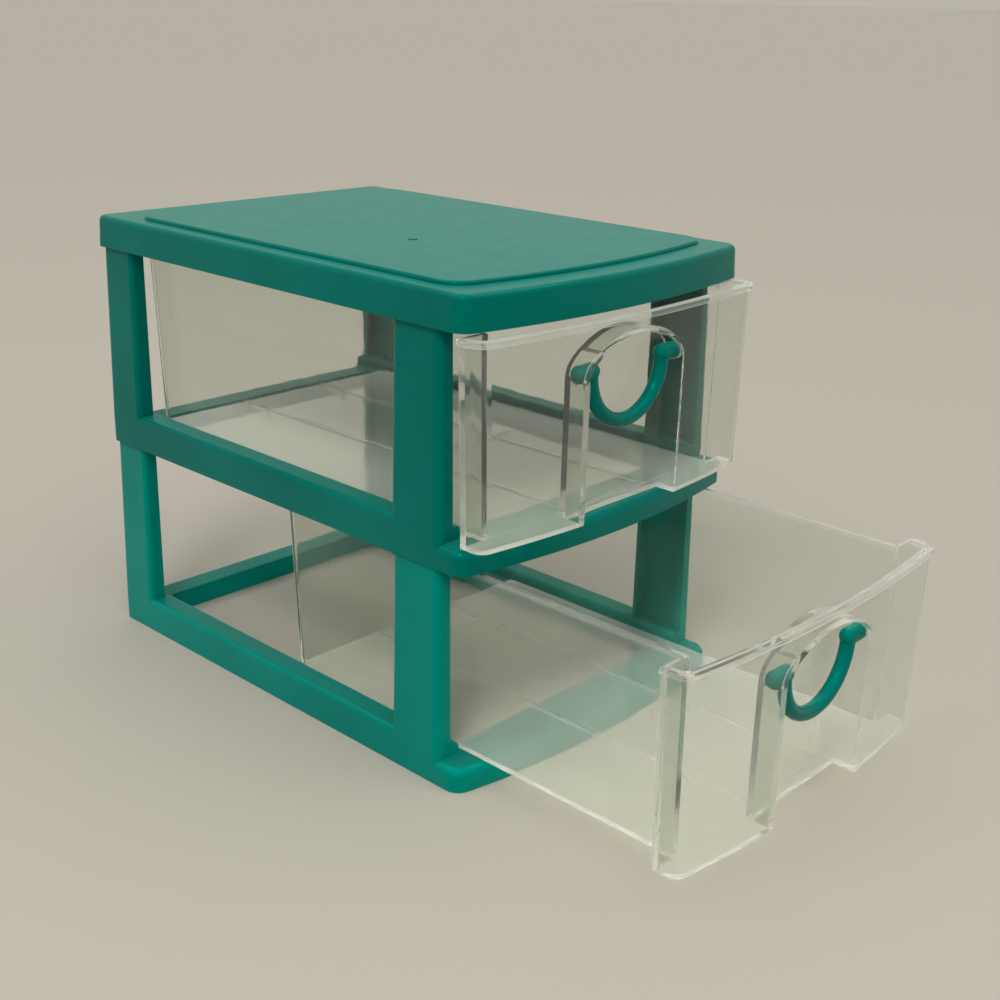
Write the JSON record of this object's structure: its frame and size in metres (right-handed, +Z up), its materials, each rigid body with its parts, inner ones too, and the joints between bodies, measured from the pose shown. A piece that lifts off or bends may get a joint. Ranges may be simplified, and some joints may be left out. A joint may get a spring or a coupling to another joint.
{
  "type": "drawer organizer",
  "caption": "Small desktop organizer of stacking plastic frames with clear sliding drawers and swinging handles.",
  "frame": {"origin": "middle of the footprint of the bottom ring, on the table", "axes": "+Z up, +X to the right as seen from the front, the drawers slide out toward -Y"},
  "size_m": [0.142, 0.2916, 0.1683],
  "materials": {
    "green_plastic": "moulded, semi-gloss",
    "clear_plastic": "clear, slightly cloudy"
  },
  "bodies": {
    "frame": {"lower_frame": "green_plastic", "upper_frame": "green_plastic", "top_cover": "green_plastic"},
    "lower_drawer": {"lower_drawer": "clear_plastic"},
    "upper_drawer": {"upper_drawer": "clear_plastic"},
    "lower_handle": {"lower_handle": "green_plastic"},
    "upper_handle": {"upper_handle": "green_plastic"}
  },
  "joints": [
    {"name": "lower_drawer_slide", "type": "slide", "parent": "frame", "child": "lower_drawer", "axis": [0, -1, 0], "range_m": [-0.0877, 0.0662]},
    {"name": "lower_handle_hinge", "type": "hinge", "parent": "lower_drawer", "child": "lower_handle", "pos_m": [0, -0.1858, 0.059], "axis": [-1, 0, 0], "range_deg": [0, 100]},
    {"name": "upper_drawer_slide", "type": "slide", "parent": "frame", "child": "upper_drawer", "axis": [0, -1, 0], "range_m": [-0.0072, 0.1467]},
    {"name": "upper_handle_hinge", "type": "hinge", "parent": "upper_drawer", "child": "upper_handle", "pos_m": [0, -0.1053, 0.1365], "axis": [-1, 0, 0], "range_deg": [0, 100]}
  ]
}
